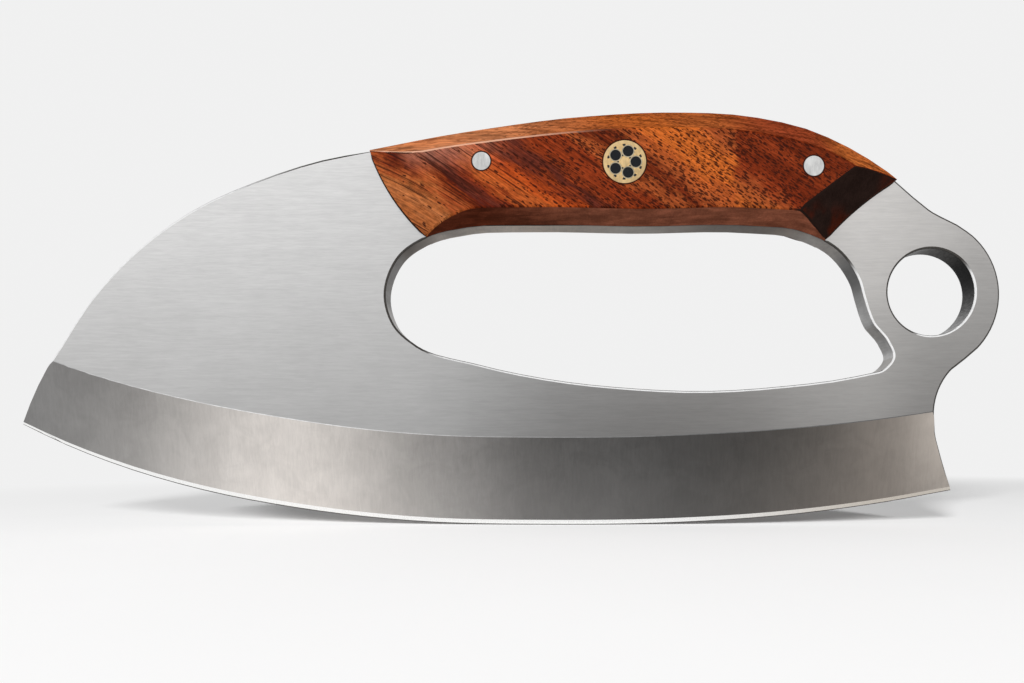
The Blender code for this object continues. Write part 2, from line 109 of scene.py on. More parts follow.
class Nodes:
    """Shader nodes under construction. Each method adds a node and returns its output socket."""

    def __init__(self, tree):
        self.tree = tree

    def feed(self, socket, value):
        if isinstance(value, bpy.types.NodeSocket):
            self.tree.links.new(value, socket)
        elif socket.type == "RGBA" and len(value) == 3:
            socket.default_value = (*value, 1)
        else:
            socket.default_value = value

    def node(self, kind, inputs=(), **settings):
        node = self.tree.nodes.new("ShaderNode" + kind)
        for setting, value in settings.items():
            setattr(node, setting, value)
        for key, value in dict(inputs).items():
            self.feed(node.inputs[key], value)
        return node

    def parts(self, vector):
        return tuple(self.node("SeparateXYZ", {0: vector}).outputs)

    def math(self, operation, first, *others):
        """The operation on the first value and each of the others in turn, or on the first alone."""
        for other in others or (0.0,):
            first = self.node("Math", {0: first, 1: other}, operation=operation).outputs[0]
        return first

    add = partialmethod(math, "ADD")
    less = partialmethod(math, "SUBTRACT")
    times = partialmethod(math, "MULTIPLY")
    most = partialmethod(math, "MAXIMUM")

    def ease(self, value, start, end, low=0.0, high=1.0):
        """low where value is at start and high where it is at end, with a soft change between."""
        sockets = {"Value": value, "From Min": start, "From Max": end, "To Min": low, "To Max": high}
        return self.node("MapRange", sockets, interpolation_type="SMOOTHSTEP").outputs[0]

    def swing(self, noise, depth, spread=0.2):
        """A level from -depth to depth that follows a noise over a spread round its middle."""
        return self.ease(noise, 0.5 - spread, 0.5 + spread, -depth, depth)

    def noise(self, vector, scale, detail=2.0, roughness=0.5, bend=0.0):
        """Noise from 0 to 1 whose features are about 1/scale millimetres long on each axis."""
        stretched = self.node("Mapping", {"Vector": vector, "Scale": scale}).outputs[0]
        sockets = {"Vector": stretched, "Scale": 1.0, "Detail": detail, "Roughness": roughness}
        return self.node("TexNoise", {**sockets, "Distortion": bend}).outputs[0]

    def slanted(self, vector, angle):
        """The vector along and across a grain that runs down towards the ring."""
        return self.node("Mapping", {"Vector": vector, "Rotation": (0, -angle, 0)}).outputs[0]

    def dashes(self, vector, length, width, size, kept):
        """1 on short strokes, else 0: one to a cell of length by width millimetres, in a share of cells."""
        along, _, across = self.parts(vector)
        cells = self.node("CombineXYZ", {0: self.times(along, 1 / length), 1: self.times(across, 1 / width)})
        cell = self.node("TexVoronoi", {"Vector": cells.outputs[0], "Scale": 1.0}, voronoi_dimensions="2D")
        chance, reach, _ = self.parts(cell.outputs["Color"])
        reach = self.times(size, self.ease(reach, 0.0, 1.0, 0.6, 1.3))
        stroke = self.ease(self.less(reach, cell.outputs["Distance"]), 0.0, 0.1)
        return self.times(stroke, self.math("LESS_THAN", chance, kept))

    def ramp(self, value, stops):
        """A colour or a grey level by value, through (place, colour) stops."""
        first, last = stops[0][0], stops[-1][0]
        share = self.node("MapRange", {"Value": value, "From Min": first, "From Max": last}).outputs[0]
        ramp = self.node("ValToRGB", {0: share})
        ramp.color_ramp.interpolation = "CARDINAL"
        elements = ramp.color_ramp.elements
        while len(elements) < len(stops):
            elements.new(1.0)
        for element, (place, _) in zip(elements, stops):
            element.position = (place - first) / (last - first)
        for element, (_, colour) in zip(elements, stops):
            tint = (colour,) * 3 if isinstance(colour, float) else colour
            element.color = (*tint, 1)
        return ramp.outputs[0]

    def mix(self, share, first, second, blend="MIX"):
        node = self.node("Mix", data_type="RGBA", blend_type=blend)
        for key, value in ((0, share), (6, first), (7, second)):
            self.feed(node.inputs[key], value)
        return node.outputs[2]

    def tinted(self, colour, level):
        """The colour made lighter or darker by a level around 1."""
        grey = self.node("CombineColor", {0: level, 1: level, 2: level}).outputs[0]
        return self.mix(1.0, colour, grey, "MULTIPLY")

    def looked_at(self):
        """1 for what the camera sees, itself, mirrored or through glass, and 0 for light on the knife."""
        seen = self.node("LightPath").outputs
        return self.most(seen["Is Camera Ray"], seen["Is Glossy Ray"], seen["Is Transmission Ray"])


class Look(Nodes):
    """A material under construction, with the place on the knife as a whole and as x, y and z."""

    def __init__(self, name):
        self.material = bpy.data.materials.new(name)
        self.material.use_nodes = True
        super().__init__(self.material.node_tree)
        self.shader = self.tree.nodes["Principled BSDF"]
        spot = self.node("TexCoord").outputs["Object"]
        self.place = self.node("VectorMath", {0: spot, "Scale": MM}, operation="SCALE").outputs[0]
        self.x, self.y, self.z = self.parts(self.place)

    def set(self, **sockets):
        """Sets sockets of the main shader: base_color=... is its Base Color."""
        for key, value in sockets.items():
            words = ["IOR" if word == "ior" else word.capitalize() for word in key.split("_")]
            self.feed(self.shader.inputs[" ".join(words)], value)

    def metal(self, colour, level, strokes, roughness, swing=0.05, spread=0.3):
        """Bare metal of a colour at a level, rougher where the strokes are high."""
        rough = self.ease(strokes, 0.5 - spread, 0.5 + spread, roughness - swing, roughness + swing)
        self.set(base_color=self.tinted(colour, level), metallic=1.0, roughness=rough)

    def facing(self):
        """The way that the surface looks, along X, Y and Z."""
        return self.parts(self.node("TexCoord").outputs["Normal"])

    def heading(self, to_ring, up):
        """How far the surface looks to the ring and up, without its turn out of the plate."""
        flat = self.node("CombineXYZ", {0: to_ring, 1: 0.0, 2: up}).outputs[0]
        unit = self.node("VectorMath", {0: flat}, operation="NORMALIZE").outputs[0]
        to_ring, _, up = self.parts(unit)
        return to_ring, up

    def away(self, centre):
        """Distance from an axis across the plate."""
        flat = self.node("VectorMath", {0: self.place, 1: (1, 0, 1)}, operation="MULTIPLY").outputs[0]
        return self.node("VectorMath", {0: flat, 1: centre * MM}, operation="DISTANCE").outputs["Value"]

    def along(self, start, end):
        """0 at start and 1 at end, in millimetres along the knife."""
        return self.ease(self.x, start, end)

    def up(self, start, end):
        """0 at start and 1 at end, in millimetres of height."""
        return self.ease(self.z, start, end)

    def strokes(self, scale, depth, bend=0.0):
        """Brushing strokes of a size: a level that swings by a depth round 0, and the strokes themselves."""
        strokes = self.noise(self.place, scale, 3.0, 0.65, bend)
        return self.swing(strokes, depth), strokes

    def bump(self, height, depth):
        """Relief that is depth metres deep where height goes from 0 to 1."""
        relief = self.node("Bump", {"Height": height, "Distance": depth, "Strength": 1.0})
        self.feed(self.shader.inputs["Normal"], relief.outputs[0])


# Steel

# Painted reflection: how light the flats are along X, level with the narrow stretch under the hand opening
FLAT_REFLECTION_TONES = (
    (-120, 0.51), (-60, 0.48), (-22, 0.425), (-9, 0.36), (14, 0.26), (56, 0.24), (92, 0.34), (110, 0.265),
    (130, 0.24),
)
FLAT_TONE_LEVEL = 33.0
# Painted reflection: how light the ground bevel is along X, and how much lighter its foot is than its top
BEVEL_REFLECTION_TONES = (
    (-130, 0.215), (-98, 0.32), (-75, 0.57), (-62, 0.66), (-48, 0.62), (-30, 0.42), (0, 0.19), (30, 0.115),
    (68, 0.096), (92, 0.175), (105, 0.27), (114, 0.42),
)
BEVEL_REFLECTION_RISES = ((-130, 0.0), (-95, 0.25), (-50, 0.1), (0, 0.45), (60, 0.5), (85, 0.25), (113, -0.3))
# How warm the bevel is along X, and the painted highlight and shade of the line where it starts
BEVEL_WARMTH = ((-130, 0.05), (-60, 0.3), (0, 0.15), (50, 0.175), (90, 0.55), (114, 0.55))
GRIND_LINE_LIGHT_AND_SHADE = ((-130, 0.45), (-95, 0.72), (-45, 0.82), (-10, 0.45), (40, 0.20), (90, 0.16), (115, 0.15))
# Painted reflection and shade, as greys of the plate's edge faces: down the rear end of the hand opening
# by Z, along its top by X, and down the finger ring's bore by Z
REAR_WALL_TONES = ((38, 0.44), (54, 0.42), (60, 0.25), (65, 0.11), (75, 0.28))
TOP_WALL_TONES = (
    (-34, 0.20), (-28, 0.30), (-21, 0.46), (-14, 0.32), (-3, 0.45), (4, 0.48), (18, 0.38), (30, 0.39),
    (37, 0.34), (50, 0.17), (68, 0.11), (74, 0.20), (81, 0.38),
)
BORE_TONES = ((49, 0.30), (53, 0.24), (57, 0.10), (62, 0.022), (68, 0.012), (72, 0.04))
# How much painted reflection of the wood's warmth the top of the hand opening takes on along X
TOP_WALL_WOOD_REFLECTION = ((-20, 0.6), (0, 0.7), (12, 0.8), (37, 0.5), (50, 0.9), (56, 1.0), (72, 1.0), (81, 0.3))


def brushed_flat(settings):
    """The plate's flat sides, brushed along the knife, with painted reflections that lighten them towards the
    tip and the spine.
    """
    look = Look("brushed_flat")
    long_level, long_strokes = look.strokes((0.06, 0.3, 1.0), 0.03, 0.8)
    short_level, short_strokes = look.strokes((0.22, 0.4, 2.4), 0.045, 0.5)
    cloud_level, _ = look.strokes((0.05, 0.05, 0.11), 0.02)
    # Painted reflection: the flats lighten upwards and beside the ring
    rise = look.times(look.less(look.z, FLAT_TONE_LEVEL), settings.flat_reflection_rise)
    ring_reflection = look.times(look.along(78, 92), look.along(125, 112), look.up(50, 66), settings.ring_reflection_rise)
    tone = look.add(look.ramp(look.x, FLAT_REFLECTION_TONES), rise, ring_reflection)
    level = look.add(long_level, short_level, cloud_level, 1.0)
    tint = look.mix(look.along(-20, 70), settings.steel_colour, settings.warm_steel_colour)
    level = look.times(tone, level, settings.steel_gain)
    look.metal(tint, level, short_strokes, settings.flat_roughness, spread=0.2)
    look.bump(look.add(long_strokes, short_strokes), settings.brush_depth)
    return look.material


def ground_bevel(settings):
    """The wide grind: brushed across the edge, with painted reflections in light and dark reaches along it.
    """
    look = Look("ground_bevel")
    down = look.ease(look.math("ABSOLUTE", look.y), HALF_PLATE * MM, 0.0, -0.5, 0.5)
    # A ramp can't go below 0, so the rises go in 0.5 higher
    rises = look.ramp(look.x, tuple((at, rise + 0.5) for at, rise in BEVEL_REFLECTION_RISES))
    rise = look.less(look.times(down, rises), look.times(down, 0.5))
    level, strokes = look.strokes((1.0, 0.4, 0.16), 0.035, 1.0)
    fine_level, fine_strokes = look.strokes((3.6, 0.5, 0.45), 0.03, 0.6)
    cloud_level, _ = look.strokes((0.12, 0.1, 0.14), 0.05, 0.8)
    level = look.add(level, fine_level, cloud_level, rise, 1.0)
    level = look.times(look.ramp(look.x, BEVEL_REFLECTION_TONES), level, settings.steel_gain)
    tint = look.mix(look.ramp(look.x, BEVEL_WARMTH), settings.steel_colour, settings.warm_tint_colour)
    look.metal(tint, level, fine_strokes, settings.bevel_roughness, spread=0.2)
    look.bump(look.add(strokes, fine_strokes), settings.brush_depth)
    return look.material


def honed_edge(settings):
    """The narrow bevel that cuts: bright, duller at the heel, and with painted shade along the very edge."""
    look = Look("honed_edge")
    level, strokes = look.strokes((2.5, 0.5, 0.6), 0.025)
    colour = look.mix(look.along(40, 105), settings.edge_colour, settings.edge_heel_colour)
    line = settings.edge_shade_line * MM
    very_edge_shade = look.ease(look.math("ABSOLUTE", look.y), line * 1.2, line * 0.8)
    colour = look.mix(very_edge_shade, colour, settings.corner_shade)
    look.metal(colour, look.add(level, 1.0), strokes, 0.29)
    return look.material


def broken_corner(settings):
    """The rounded corner round the outline, the hand opening and the ring, with painted light and shade: a
    highlight beside the flat where it looks up or back to the tip, and shade towards the edge faces, where it
    looks to the ring or down, and at the heel."""
    look = Look("broken_corner")
    to_ring, out, up = look.facing()
    side, rise = look.heading(to_ring, up)
    # How far to the ring a corner may look and keep its painted highlight, which is further beside the flat
    limit = look.ease(look.math("ABSOLUTE", out), 0.76, 0.86, -0.55, 0.30)
    over_opening = look.times(look.ease(rise, -0.3, -0.6), look.up(64, 70))
    on_spine = look.times(look.up(84, 90), look.ease(side, -0.45, -0.25))
    at_heel = look.up(30, 24)
    dark = look.most(look.ease(look.less(side, limit), -0.12, 0.12), over_opening, on_spine, at_heel)
    level, nicks = look.strokes((0.8, 0.8, 0.8), 0.1)
    tone = look.mix(dark, settings.corner_highlight, settings.corner_shade)
    look.metal(tone, look.add(level, 1.0), nicks, 0.31)
    return look.material


def filed_wall(settings):
    """The plate's edge faces: sawn, filed across, greyer than the flats, and with painted reflection and
    shade.
    """
    look = Look("filed_wall")
    to_ring, _, up = look.facing()
    underside = look.ease(up, -0.5, -0.8)
    in_bore = look.ease(look.away(RING_MIDDLE), 13.5, 12.5)
    outside = look.most(look.ease(up, 0.1, 0.4), look.along(106, 107))
    tone = look.mix(underside, look.ramp(look.z, REAR_WALL_TONES), look.ramp(look.x, TOP_WALL_TONES))
    for share, grey in (
        # Painted shade on the front end of the hand opening
        (look.ease(to_ring, 0.2, 0.6), settings.front_wall_shade),
        (in_bore, look.ramp(look.z, BORE_TONES)),
        (look.times(outside, look.less(1.0, in_bore)), settings.outer_wall_colour),
        # Painted shade at the heel
        (look.up(24, 20), settings.corner_shade),
    ):
        tone = look.mix(share, tone, grey)
    # Painted reflection of the wood on the top of the hand opening
    wood_reflection = look.times(underside, look.ramp(look.x, TOP_WALL_WOOD_REFLECTION))
    tint = look.mix(wood_reflection, settings.steel_colour, settings.warm_tint_colour)
    level, strokes = look.strokes((2.2, 0.25, 2.2), 0.12)
    patch_level, _ = look.strokes((0.25, 0.25, 0.25), 0.12)
    scratch_level, _ = look.strokes((1.5, 0.8, 3.5), 0.5)
    level = look.add(level, patch_level, look.times(scratch_level, in_bore), 1.0)
    look.metal(look.mix(1.0, tone, tint, "MULTIPLY"), level, strokes, 0.42, swing=0.08)
    look.bump(strokes, settings.brush_depth * 2)
    return look.material


def grind_line():
    """The crisp line where the bevel leaves the flat: a painted highlight towards the tip, painted shade
    towards the heel.
    """
    look = Look("grind_line")
    level, strokes = look.strokes((0.6, 0.5, 0.6), 0.15)
    tone = look.ramp(look.x, GRIND_LINE_LIGHT_AND_SHADE)
    look.metal(tone, look.add(level, 1.0), strokes, 0.35)
    return look.material


# Wood

LIGHT_TAN = (0.38, 0.122, 0.039)
TAN = (0.33, 0.095, 0.026)
AMBER = (0.38, 0.080, 0.017)
ORANGE = (0.46, 0.105, 0.018)
RED_ORANGE = (0.37, 0.058, 0.010)
BROWN = (0.30, 0.066, 0.017)
RED_BROWN = (0.20, 0.031, 0.008)
DARK = (0.125, 0.018, 0.005)
PURPLE = (0.090, 0.018, 0.010)
# Colours of the bands by millimetres across the grain, and of the darker bands at the handle's rear
BAND_COLOURS = (
    (47, TAN), (54.5, TAN), (57.5, LIGHT_TAN), (59.5, TAN), (61.5, BROWN), (64.5, DARK), (66.5, PURPLE),
    (70, RED_BROWN), (72.5, AMBER), (76, RED_ORANGE), (78, RED_BROWN), (80.5, PURPLE), (84, RED_BROWN),
    (88, RED_BROWN), (91, BROWN), (95, DARK), (98, BROWN), (101, AMBER), (104, ORANGE), (108, ORANGE),
    (112, BROWN), (125, RED_BROWN),
)
REAR_BAND_COLOURS = (
    (96, ORANGE), (104, BROWN), (108, RED_BROWN), (113, DARK), (117, RED_BROWN), (121, DARK),
    (134, RED_BROWN),
)
# How far the bands lean with the depth under the handle's face, on each ground face
LEANS = {"face": 0.3, "ramp": 0.2, "ridge": 0.5, "top": 1.0, "under": 0.3, "end": 0.3}
SATIN = ("face", "ramp")


def banded_wood(look, settings, lean):
    """The wood as it is on the handle's face: its colour, its fine lines and its dark pores."""
    depth = look.less(HANDLE_HALF * MM, look.math("ABSOLUTE", look.y))
    height = look.add(look.z, look.times(depth, lean))
    leaned = look.node("CombineXYZ", {0: look.x, 2: height}).outputs[0]
    grain = look.slanted(leaned, settings.grain_slant)

    drift = look.noise(grain, (0.05, 1.0, 0.14))
    ripple = look.noise(grain, (0.16, 1.0, 0.7), 3.0, 0.65)
    band = look.add(
        look.parts(grain)[2], look.swing(drift, settings.band_drift * MM, 0.25),
        look.swing(ripple, settings.band_ripple * MM, 0.25),
    )
    seam = look.add(look.x, look.swing(ripple, 1.2, 0.3))
    seam_share = look.ease(seam, settings.seam_at * MM - 1, settings.seam_at * MM + 1)
    colour = look.mix(seam_share, look.ramp(band, BAND_COLOURS), look.ramp(band, REAR_BAND_COLOURS))
    sheen = look.times(look.along(4, -14), look.up(88, 97), look.ease(depth, 3.0, 0.5), 0.45)
    colour = look.mix(sheen, colour, settings.sheen_colour)

    long_lines = look.noise(grain, (0.05, 1.0, 2.2), 4.0, 0.7)
    fine_lines = look.noise(grain, (0.22, 1.0, 5.0), 3.0, 0.65)
    flecks = look.noise(grain, (0.6, 1.0, 1.6), 2.0, 0.6)
    lines = look.add(
        look.swing(long_lines, 0.34, 0.16), look.swing(fine_lines, 0.22, 0.18),
        look.swing(flecks, 0.22, 0.18), 1.0,
    )
    straight = look.ease(look.noise(grain, (0.04, 1.0, 2.0), 3.0, 0.6), 0.54, 0.60)
    straight = look.times(straight, look.along(60, 10), 0.8)
    crowd = look.noise(grain, (0.06, 1.0, 0.16))
    kept = look.add(look.swing(crowd, 0.3, 0.15), settings.pore_share)
    kept = look.times(kept, look.ease(look.x, -18.0, 32.0, 0.04, 1.0))
    pores = look.most(
        look.dashes(grain, 2.0, 0.62, settings.pore_size, kept),
        look.dashes(grain, 1.3, 0.42, settings.pore_size * 0.9, look.times(kept, 0.7)),
    )
    dark = look.most(look.times(pores, 0.9), straight)
    colour = look.mix(dark, look.tinted(colour, lines), settings.pore_colour)
    return colour, lines, pores


def mottle(look, colour):
    """A colour with fine specks and soft clouds in it."""
    speck_level, _ = look.strokes((2.5, 2.5, 2.5), 0.15)
    cloud_level, _ = look.strokes((0.25, 0.25, 0.25), 0.2)
    return look.tinted(colour, look.add(speck_level, cloud_level, 1.0))


def top_wood(look, settings, colour, pores):
    """The upper ground face: streaks in its own colours over the bands."""
    streaks = look.noise(look.slanted(look.place, settings.top_slant), (0.07, 0.5, 0.9), 4.0, 0.65, 0.3)
    reaches = (
        (-36, 0, settings.top_front_colour), (25, 54, settings.top_middle_colour),
        (64, 80, settings.top_red_colour), (86, 103, settings.top_rear_colour),
    )
    plain = look.ramp(look.x, [(at, tint) for start, end, tint in reaches for at in (start, end)])
    plain = look.tinted(plain, look.ease(streaks, 0.32, 0.68, 0.45, 1.5))
    return look.mix(look.less(0.72, look.times(pores, 0.4)), colour, plain)


def shaded_under_wood(look, settings):
    """The underside in painted shade, darkest at the front, softly streaked along the handle."""
    plain = look.mix(look.along(-8, 28), settings.under_front_shade, settings.under_shade)
    streaks = look.noise(look.place, (0.12, 0.5, 0.5), 4.0, 0.65, 0.4)
    return look.tinted(mottle(look, plain), look.ease(streaks, 0.32, 0.68, 0.7, 1.3))


def shaded_end_wood(look, settings):
    """The rear ground face in painted shade, near black, a little redder at its foot and its rear."""
    reddish = look.times(
        look.most(look.up(84, 78), look.along(95, 101)),
        look.ease(look.noise(look.place, (0.2, 0.2, 0.2)), 0.35, 0.6),
    )
    return mottle(look, look.mix(reddish, settings.end_shade, settings.end_shade_red))


def ridge_wood(look, settings, colour):
    """The rounded ridges: a painted highlight at the front of the top, and the rear face's painted shade
    beside it.
    """
    up = look.facing()[2]
    ridge_highlight = look.times(look.ease(up, 0.05, 0.2), look.along(30, 0), settings.ridge_highlight_share)
    colour = look.mix(ridge_highlight, colour, settings.ridge_highlight_colour)
    beside_end_shade = look.times(look.ease(up, 0.15, 0.0), look.along(71, 74))
    return look.mix(beside_end_shade, colour, settings.end_shade)


def oiled_wood(settings, facet):
    """Oiled red-brown hardwood as it is on one of the handle's ground faces."""
    look = Look("oiled_wood_" + facet)
    colour, lines, pores = banded_wood(look, settings, LEANS[facet])
    if facet == "top":
        colour = top_wood(look, settings, colour, pores)
    elif facet == "under":
        colour = shaded_under_wood(look, settings)
    elif facet == "end":
        colour = shaded_end_wood(look, settings)
    elif facet == "ridge":
        colour = ridge_wood(look, settings, colour)
    for centre, radius in PIN_SEATS:
        inner, outer = ((radius + share * settings.pin_ring) * MM for share in (0.5, 1.0))
        ring = look.ease(look.away(centre), outer, inner)
        colour = look.mix(ring, colour, settings.pore_colour)
    look.set(
        base_color=colour, roughness=look.ease(lines, 0.6, 1.4, 0.46, 0.34),
        specular_ior_level=settings.wood_shine if facet in SATIN else 0.0,
    )
    look.bump(look.less(look.times(lines, 0.3), pores), settings.pore_depth)
    return look.material


# Pins, glue and resin


def sanded_metal(settings, name, colour, roughness):
    """Metal sanded flush with the wood."""
    look = Look(name)
    scratches = look.noise(look.place, (6.0, 0.5, 0.6), 3.0, 0.7)
    cloud = look.noise(look.place, (0.55, 0.5, 0.3))
    level = look.add(look.swing(scratches, 0.06), look.swing(cloud, 0.16), 1.0)
    look.metal(colour, level, scratches, roughness, swing=0.065)
    look.bump(scratches, settings.brush_depth)
    return look.material


def cast_resin(name, colour, roughness):
    """Cured glue or resin."""
    look = Look(name)
    specks = look.noise(look.place, (4.0, 4.0, 4.0), 3.0, 0.6)
    look.set(
        base_color=look.tinted(colour, look.ease(specks, 0.3, 0.7, 0.8, 1.3)),
        roughness=look.ease(specks, 0.3, 0.7, roughness - 0.05, roughness + 0.1),
        specular_ior_level=0.1,
    )
    return look.material


# The voids on either side of each tube, outside and inside the ring of tubes: how far they are turned from
# the tube, how far out they lie as a share of the pin's radius, and how far they reach in millimetres
VOIDS = ((math.radians(20), 0.80, 0.44), (math.radians(36), 0.31, 0.30))


def filled_resin(settings):
    """Resin filled with brass dust, with dark voids beside each tube."""
    look = Look("brass_filled_resin")
    centre = MOSAIC_CENTRE * MM
    angle = look.math("ARCTAN2", look.less(look.z, centre.z), look.less(look.x, centre.x))
    reach = look.away(MOSAIC_CENTRE)
    off_tube = look.math("PINGPONG", angle, math.pi / settings.tubes)
    voids = 0.0
    for turn, share, size in VOIDS:
        sideways = look.times(look.less(off_tube, turn), reach)
        outward = look.less(reach, share * MOSAIC_RADIUS * MM)
        gap = look.math("SQRT", look.add(look.times(sideways, sideways), look.times(outward, outward)))
        voids = look.most(look.ease(gap, size, size - 0.1), voids)
    specks = look.noise(look.place, (5.0, 5.0, 5.0), 3.0, 0.6)
    dust = look.tinted(settings.filler_colour, look.ease(specks, 0.3, 0.7, 0.82, 1.12))
    look.set(
        base_color=look.mix(voids, dust, settings.resin_colour),
        roughness=look.ease(specks, 0.3, 0.7, 0.36, 0.5), specular_ior_level=0.35,
    )
    return look.material


# Pieces


def dress(piece, slot, *nodes):
    """Puts a modelled piece in the place of its nodes on the knife."""
    bpy.context.scene.collection.objects.link(piece)
    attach(piece, "root")
    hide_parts(*nodes)


def welded_faces(node):
    """The node's faces, with the triangles sharing their corners and no marks or materials left."""
    work = bmesh.new()
    work.from_mesh(frame["nodes"][node].data)
    for layers in (work.edges.layers, work.faces.layers, work.loops.layers):
        for kind in (layers.float_vector, layers.bool, layers.int, layers.float):
            for layer in list(kind.values()):
                kind.remove(layer)
    bmesh.ops.remove_doubles(work, verts=work.verts, dist=WELD)
    for face in work.faces:
        face.material_index = 0
    return work


def round_off(work, edges, width, kind, segments):
    """Puts a narrow face of a kind, rounded by segments, along edges."""
    bmesh.ops.bevel(
        work, geom=edges, offset=width, offset_type="OFFSET", segments=segments, affect="EDGES",
        material=kind, clamp_overlap=False, profile=0.5,
    )


def finished_piece(name, work, materials, sharp_angle, blended=()):
    """The faces as an object, shaded smooth except where they turn by more than an angle or the finish
    changes. The pairs of finishes in blended run smoothly into each other."""
    for edge in work.edges:
        if len(edge.link_faces) == 2:
            pair = {face.material_index for face in edge.link_faces}
            edge.smooth = (len(pair) == 1 or pair in blended) and edge.calc_face_angle() < sharp_angle
    for face in work.faces:
        face.smooth = True
    mesh = bpy.data.meshes.new(name)
    work.to_mesh(mesh)
    work.free()
    for material in materials:
        mesh.materials.append(material)
    piece = bpy.data.objects.new(name, mesh)
    even = piece.modifiers.new("even_normals", "WEIGHTED_NORMAL")
    even.keep_sharp = True
    even.weight = NORMALS_WEIGHT
    return piece


def coat(node, material):
    """Gives a node of the frame its finish."""
    slots = frame["nodes"][node].data.materials
    slots.clear()
    slots.append(material)


class ULU_OT_blade(bpy.types.Operator):
    """Finish the blade: brushed flats, ground bevels, honed edge, rounded corners and filed walls"""

    bl_idname = "ulu.blade"
    bl_label = "Blade"

    FLAT, BEVEL, EDGE, CORNER, WALL, LINE = range(6)
    # A face is the first of these whose limit is under how squarely it looks out of the plate
    SQUARENESS = ((FLAT, 0.9999), (BEVEL, 0.985), (EDGE, 0.85), (CORNER, 0.40), (WALL, -1.0))
    # Neighbours of a kind become one face where they turn by less than this, in degrees
    JOINED = ((FLAT, 0.05), (BEVEL, 0.5), (WALL, 0.05))
    # The shortest rounded edge at the heel, in widths of its rounding
    SHORTEST_AT_HEEL = 5
    SHARP_ANGLE = math.radians(50)

    def execute(self, context):
        settings = context.scene.ulu_knife
        work = welded_faces("blade")
        work.normal_update()
        for face in work.faces:
            square = abs(face.normal.y)
            face.material_index = next(kind for kind, limit in self.SQUARENESS if square > limit)
        for kind, degrees in self.JOINED:
            self.join(work, kind, degrees)
        self.bevel(work, {self.FLAT, self.CORNER}, settings.corner_round, self.CORNER)
        self.bevel(work, {self.FLAT, self.BEVEL}, settings.grind_line_width / 2, self.LINE)
        self.bevel(work, {self.BEVEL, self.WALL}, settings.heel_round, self.CORNER, at_heel=True)
        makers = (brushed_flat, ground_bevel, honed_edge, broken_corner, filed_wall)
        materials = [*(maker(settings) for maker in makers), grind_line()]
        blended = ({self.FLAT, self.CORNER}, {self.CORNER, self.WALL})
        blade = finished_piece("blade_finished", work, materials, self.SHARP_ANGLE, blended)
        dress(blade, "steel", "blade")
        return {"FINISHED"}

    def kinds(self, edge):
        return {face.material_index for face in edge.link_faces}

    def join(self, work, kind, degrees):
        """Makes one face of neighbours of a kind that lie in one plane, so that no sliver meets a corner."""
        inner = [edge for edge in work.edges if self.kinds(edge) == {kind}]
        bmesh.ops.dissolve_limit(work, angle_limit=math.radians(degrees), edges=inner, delimit=set())

    def bevel(self, work, pair, width, kind, at_heel=False):
        """A narrow face of a kind along every edge between a pair of kinds, or only along those at the heel
        that are long enough for it."""
        shortest = self.SHORTEST_AT_HEEL * width
        edges = [
            edge for edge in work.edges if self.kinds(edge) == pair
            and (not at_heel or edge.verts[0].co.x > 0 and edge.calc_length() > shortest)
        ]
        round_off(work, edges, width, kind, segments=2 if at_heel else 1)


class ULU_OT_scales(bpy.types.Operator):
    """Finish the two wooden scales, with their ground ridges slightly rounded"""

    bl_idname = "ulu.scales"
    bl_label = "Scales"

    FACETS = ("face", "ramp", "top", "under", "end", "ridge")
    # The least that a face looks out of the plate, the top up, and the end to the ring
    FACE_LIMIT, TOP_LIMIT, END_LIMIT = 0.999, 0.45, 0.1
    # A wall looks out of the plate by less than this
    WALL_LIMIT = 0.05
    ONE_PLANE = math.radians(0.3)
    RIDGE_ANGLE = math.radians(20)

    def execute(self, context):
        settings = context.scene.ulu_knife
        materials = [oiled_wood(settings, facet) for facet in self.FACETS]
        kinds = range(len(self.FACETS))
        blended = [{first, second} for first in kinds for second in kinds]
        for side in ("near", "far"):
            work = welded_faces(side + "_scale")
            bmesh.ops.dissolve_limit(
                work, angle_limit=self.ONE_PLANE, verts=work.verts, edges=work.edges, delimit=set(),
            )
            work.normal_update()
            for face in work.faces:
                face.material_index = self.FACETS.index(self.facet(face.normal))
            if side == "far":
                self.grind_back(work, settings.far_edge_set_back, settings.far_edge_lift)
            self.round_ridges(work, settings.ridge_round)
            scale = finished_piece(side + "_scale_finished", work, materials, self.RIDGE_ANGLE, blended)
            dress(scale, "wood", side + "_scale")
        return {"FINISHED"}

    def facet(self, normal):
        """Which ground face of the handle looks this way."""
        if abs(normal.y) > self.FACE_LIMIT:
            return "face"
        if normal.z > self.TOP_LIMIT:
            return "top"
        if normal.z < UNDER_LIMIT:
            return "under"
        if normal.x > self.END_LIMIT and abs(normal.y) > self.WALL_LIMIT:
            return "end"
        return "ramp" if normal.x < 0 else "face"

    def grind_back(self, work, set_back, lift):
        """Sets the underside of a scale back from the tang and tilts it up towards the handle's face, so that
        it stays out of sight behind the tang."""
        under = [face for face in work.faces if self.FACETS[face.material_index] == "under"]
        for vertex in {vertex for face in under for vertex in face.verts}:
            depth = (abs(vertex.co.y) - HALF_PLATE) / (HANDLE_HALF - HALF_PLATE)
            vertex.co.z += set_back + lift * max(depth, 0)

    def round_ridges(self, work, width):
        """Rounds the ridges between the ground faces, and leaves the side walls and pin holes crisp."""
        ridges = [
            edge for edge in work.edges
            if len(edge.link_faces) == 2 and edge.calc_face_angle() > self.RIDGE_ANGLE
            and all(abs(face.normal.y) > self.WALL_LIMIT for face in edge.link_faces)
        ]
        round_off(work, ridges, width, self.FACETS.index("ridge"), segments=3)


